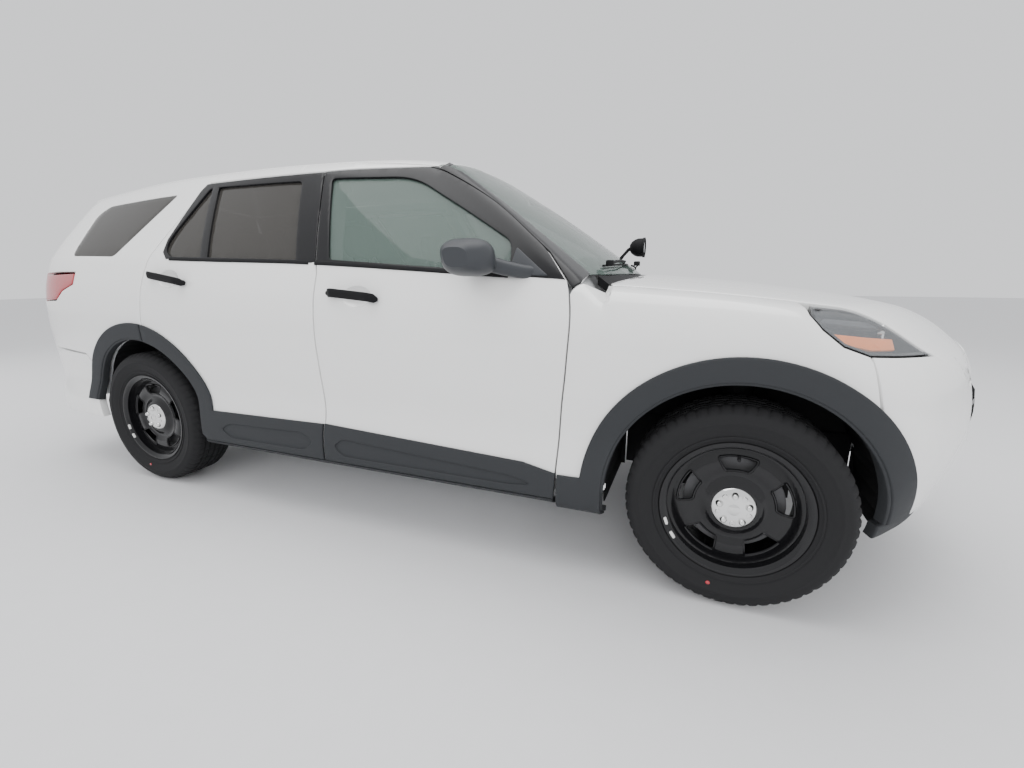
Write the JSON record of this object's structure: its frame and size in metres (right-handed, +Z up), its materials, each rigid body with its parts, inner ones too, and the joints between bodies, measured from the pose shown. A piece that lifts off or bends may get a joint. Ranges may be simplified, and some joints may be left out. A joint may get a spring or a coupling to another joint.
{
  "type": "police patrol car",
  "caption": "Five-door sport utility patrol car on black steel wheels, with opening doors, hood and liftgate, steering front wheels and a windshield-post spotlight.",
  "frame": {"origin": "centre of the car's outline on the floor it stands on", "axes": "+X to the front of the car, +Y to its left, +Z up"},
  "size_m": [5.0397, 2.2674, 1.763],
  "materials": {
    "white_paint": "gloss",
    "inner_paint": "satin",
    "dark_plastic": "matte grained",
    "black_plastic": "matte",
    "gloss_black": "gloss",
    "mirror_grey": "satin",
    "lamp_clear": "gloss",
    "lamp_red": "gloss",
    "tint_green": "gloss",
    "tint_dark": "gloss",
    "steel_black": "gloss",
    "tyre_rubber": "matte",
    "chassis_black": "satin",
    "engine_grey": "rough",
    "exhaust_steel": "satin",
    "knuckle_iron": "rough",
    "seat_fabric": "woven",
    "dash_plastic": "matte grained"
  },
  "bodies": {
    "root": {"side_frames": "inner_paint", "floor_pan": "inner_paint", "firewall": "inner_paint", "front_rails": "inner_paint", "body_sides": "white_paint", "roof": "white_paint", "fenders": "white_paint", "front_bumper": "white_paint", "rear_bumper": "white_paint", "grille": "black_plastic", "headlights": "lamp_clear", "taillights": "lamp_red", "windshield": "tint_green", "quarter_glass": "tint_dark", "arch_mouldings": "dark_plastic", "wheel_liners": "black_plastic", "cowl": "black_plastic", "wipers": "black_plastic", "spotlight": "gloss_black", "engine": "engine_grey", "exhaust": "exhaust_steel", "front_subframe": "chassis_black", "rear_axle": "chassis_black", "front_seats": "seat_fabric", "rear_seat": "seat_fabric", "dashboard": "dash_plastic", "front_valance": "dark_plastic", "jack_pads": "chassis_black"},
    "steering_wheel": {"steering_wheel": "dash_plastic"},
    "front_left_door": {"front_left_door": "white_paint", "front_left_window_frame": "white_paint", "front_left_glass": "tint_green", "front_left_cladding": "dark_plastic", "left_mirror": "mirror_grey"},
    "front_right_door": {"front_right_door": "white_paint", "front_right_window_frame": "white_paint", "front_right_glass": "tint_green", "front_right_cladding": "dark_plastic", "right_mirror": "mirror_grey"},
    "rear_left_door": {"rear_left_door": "white_paint", "rear_left_window_frame": "white_paint", "rear_left_glass": "tint_dark", "rear_left_cladding": "dark_plastic"},
    "rear_right_door": {"rear_right_door": "white_paint", "rear_right_window_frame": "white_paint", "rear_right_glass": "tint_dark", "rear_right_cladding": "dark_plastic"},
    "hood": {"hood": "white_paint"},
    "liftgate": {"liftgate": "white_paint", "liftgate_glass": "tint_dark", "rear_plate_bracket": "black_plastic"},
    "left_knuckle": {"left_knuckle": "knuckle_iron"},
    "right_knuckle": {"right_knuckle": "knuckle_iron"},
    "front_left_wheel": {"front_left_wheel": "steel_black", "front_left_tyre": "tyre_rubber"},
    "front_right_wheel": {"front_right_wheel": "steel_black", "front_right_tyre": "tyre_rubber"},
    "rear_left_wheel": {"rear_left_wheel": "steel_black", "rear_left_tyre": "tyre_rubber"},
    "rear_right_wheel": {"rear_right_wheel": "steel_black", "rear_right_tyre": "tyre_rubber"}
  },
  "joints": [
    {"name": "front_left_door_hinge", "type": "hinge", "parent": "root", "child": "front_left_door", "pos_m": [0.944, 0.978, 0.7], "axis": [0, 0, -1], "range_deg": [0, 68]},
    {"name": "front_right_door_hinge", "type": "hinge", "parent": "root", "child": "front_right_door", "pos_m": [0.944, -0.978, 0.7], "axis": [0, 0, 1], "range_deg": [0, 68]},
    {"name": "rear_left_door_hinge", "type": "hinge", "parent": "root", "child": "rear_left_door", "pos_m": [-0.17, 0.981, 0.7], "axis": [0, 0, -1], "range_deg": [0, 68]},
    {"name": "rear_right_door_hinge", "type": "hinge", "parent": "root", "child": "rear_right_door", "pos_m": [-0.17, -0.981, 0.7], "axis": [0, 0, 1], "range_deg": [0, 68]},
    {"name": "hood_hinge", "type": "hinge", "parent": "root", "child": "hood", "pos_m": [1.112, 0, 1.13], "axis": [0, -1, 0], "range_deg": [0, 55]},
    {"name": "liftgate_hinge", "type": "hinge", "parent": "root", "child": "liftgate", "pos_m": [-2.147, 0, 1.69], "axis": [0, 1, 0], "range_deg": [0, 82]},
    {"name": "left_steer", "type": "hinge", "parent": "root", "child": "left_knuckle", "pos_m": [1.6095, 0.7885, 0.372], "axis": [0, 0, 1], "range_deg": [-35, 35]},
    {"name": "right_steer", "type": "hinge", "parent": "root", "child": "right_knuckle", "pos_m": [1.6095, -0.7885, 0.372], "axis": [0, 0, 1], "range_deg": [-35, 35]},
    {"name": "steering_wheel_turn", "type": "hinge", "parent": "root", "child": "steering_wheel", "pos_m": [0.5695, 0.395, 0.96], "axis": [-0.9063, 0, 0.4226], "range_deg": [-490, 490]},
    {"name": "front_left_roll", "type": "hinge", "parent": "left_knuckle", "child": "front_left_wheel", "pos_m": [1.6095, 0.8505, 0.372], "axis": [0, 1, 0], "continuous": true},
    {"name": "front_right_roll", "type": "hinge", "parent": "right_knuckle", "child": "front_right_wheel", "pos_m": [1.6095, -0.8505, 0.372], "axis": [0, 1, 0], "continuous": true},
    {"name": "rear_left_roll", "type": "hinge", "parent": "root", "child": "rear_left_wheel", "pos_m": [-1.4155, 0.8505, 0.372], "axis": [0, 1, 0], "continuous": true},
    {"name": "rear_right_roll", "type": "hinge", "parent": "root", "child": "rear_right_wheel", "pos_m": [-1.4155, -0.8505, 0.372], "axis": [0, 1, 0], "continuous": true}
  ],
  "couplings": [
    {"joint": "right_steer", "follows": "left_steer", "ratio": 1},
    {"joint": "steering_wheel_turn", "follows": "left_steer", "ratio": 14}
  ]
}
